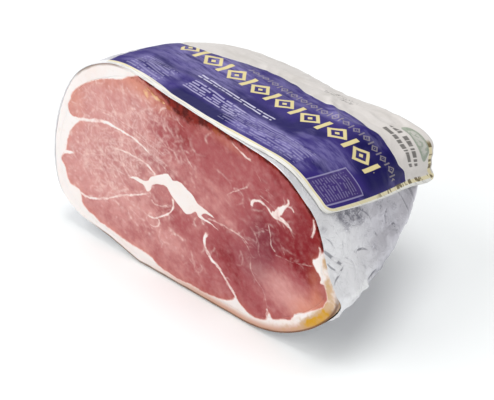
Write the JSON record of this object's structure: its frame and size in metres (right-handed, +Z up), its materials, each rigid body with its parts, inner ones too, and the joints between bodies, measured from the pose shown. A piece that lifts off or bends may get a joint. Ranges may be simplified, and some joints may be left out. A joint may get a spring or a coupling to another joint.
{
  "type": "boneless prosciutto",
  "caption": "Half of a boned dry-cured ham: flat cut face of marbled lean under a cover of fat, wrapped in crinkled foil with a printed label over the top.",
  "frame": {"origin": "under the middle of the whole part, on the surface that it stands on", "axes": "+Z up, the cut face looks along -Y, +X is to the right of the cut face"},
  "size_m": [0.2412, 0.143, 0.1394],
  "materials": {
    "lean_meat": "moist cut meat, soft sheen",
    "ham_fat": "waxy, slightly translucent",
    "foil": "crinkled, satin",
    "label_film": "printed film, semi-gloss"
  },
  "bodies": {
    "root": {"lean": "lean_meat", "fat_cover": "ham_fat", "foil_wrap": "foil", "label": "label_film"}
  },
  "joints": []
}
